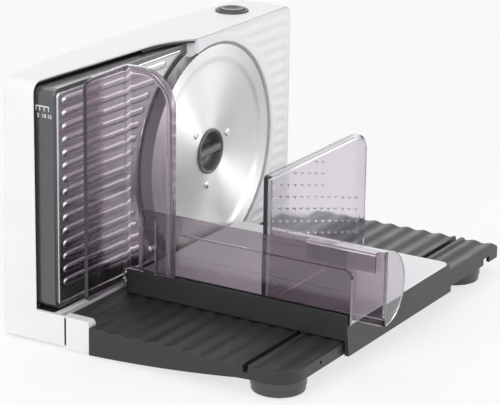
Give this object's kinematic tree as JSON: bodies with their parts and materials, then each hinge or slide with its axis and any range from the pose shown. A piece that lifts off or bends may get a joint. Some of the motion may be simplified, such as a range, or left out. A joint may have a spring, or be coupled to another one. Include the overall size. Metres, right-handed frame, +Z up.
{
  "type": "food_slicer",
  "caption": "Electric food slicer with a round blade, smoky clear hand guard and pusher, sliding carriage and dial-set fence",
  "frame": {"origin": "centre of the footprint on the worktop", "axes": "+X to the right along the blade and the carriage's travel, +Y to the back, +Z up"},
  "size_m": [0.331, 0.294, 0.1996],
  "materials": {
    "white_plastic": "moulded, satin white",
    "dark_plastic": "moulded, charcoal",
    "black_plastic": "moulded, near black, satin",
    "grey_plastic": "moulded, dark grey",
    "smoke_clear": "clear plastic with a smoky tint",
    "steel": "polished and brushed",
    "dark_steel": "zinc plated",
    "nylon": "natural nylon",
    "rubber": "soft, matte"
  },
  "bodies": {
    "housing": {"housing_shell": "white_plastic", "face_panel": "white_plastic", "fence_nest": "white_plastic", "slice_duct": "white_plastic", "rear_cover": "white_plastic", "rear_cover_screw_1": "dark_steel", "rear_cover_screw_2": "dark_steel", "rear_cover_screw_3": "dark_steel", "rear_cover_screw_4": "dark_steel", "cord_inlet": "black_plastic", "rear_pad_left": "rubber", "rear_pad_right": "rubber", "gear_plate": "dark_steel", "gear_plate_screw_1": "dark_steel", "gear_plate_screw_2": "dark_steel", "gear_plate_screw_3": "dark_steel", "blade_spindle": "steel", "spindle_nut": "steel", "motor_can": "dark_steel", "motor_screw_left": "dark_steel", "motor_screw_right": "dark_steel", "button_bezel": "dark_plastic", "micro_switch": "black_plastic", "button_spring": "steel", "fence_pin_upper": "steel", "fence_pin_lower": "steel", "table": "black_plastic", "table_screw_left": "dark_steel", "table_screw_right": "dark_steel", "front_foot_left": "grey_plastic", "front_foot_right": "grey_plastic", "front_pad_left": "rubber", "front_pad_right": "rubber"},
    "blade_unit": {"blade": "steel", "blade_knob": "dark_plastic", "blade_rivet_1": "steel", "blade_rivet_2": "steel", "blade_rivet_3": "steel", "drive_gear": "nylon"},
    "motor_rotor": {"motor_shaft": "steel", "cooling_fan": "nylon"},
    "fence": {"fence_body": "dark_plastic", "fence_plate": "steel", "cam_follower": "steel"},
    "thickness_dial": {"thickness_cam": "nylon", "thickness_knob": "dark_plastic"},
    "carriage": {"carriage_base": "black_plastic", "carriage_bed": "white_plastic", "carriage_wall": "smoke_clear", "hand_guard": "smoke_clear", "guard_screw": "dark_steel"},
    "pusher_unit": {"pusher": "smoke_clear"},
    "button": {"power_button": "black_plastic"}
  },
  "joints": [
    {"name": "blade_spin", "type": "hinge", "parent": "housing", "child": "blade_unit", "pos_m": [0.0345, 0.07004, 0.101], "axis": [0, 1, 0], "continuous": true},
    {"name": "motor_spin", "type": "hinge", "parent": "housing", "child": "motor_rotor", "pos_m": [0.07525, 0.10054, 0.101], "axis": [0, 0, 1], "continuous": true},
    {"name": "fence_slide", "type": "slide", "parent": "housing", "child": "fence", "axis": [0, 1, 0], "range_m": [-0.008, 0.007]},
    {"name": "thickness_turn", "type": "hinge", "parent": "housing", "child": "thickness_dial", "pos_m": [-0.0905, 0.12804, 0.101], "axis": [0, 1, 0], "range_deg": [-161, 141]},
    {"name": "carriage_slide", "type": "slide", "parent": "housing", "child": "carriage", "axis": [1, 0, 0], "range_m": [-0.06, 0.09]},
    {"name": "pusher_slide", "type": "slide", "parent": "carriage", "child": "pusher_unit", "axis": [0, 1, 0], "range_m": [-0.02, 0.104]},
    {"name": "button_press", "type": "slide", "parent": "housing", "child": "button", "axis": [0, 0, -1], "range_m": [0, 0.003], "stiffness_N_per_m": 400, "deforming": ["button_spring"]}
  ],
  "couplings": [
    {"joint": "motor_spin", "follows": "blade_spin", "ratio": 30},
    {"joint": "thickness_turn", "follows": "fence_slide", "rad_per_m": 349.07}
  ]
}
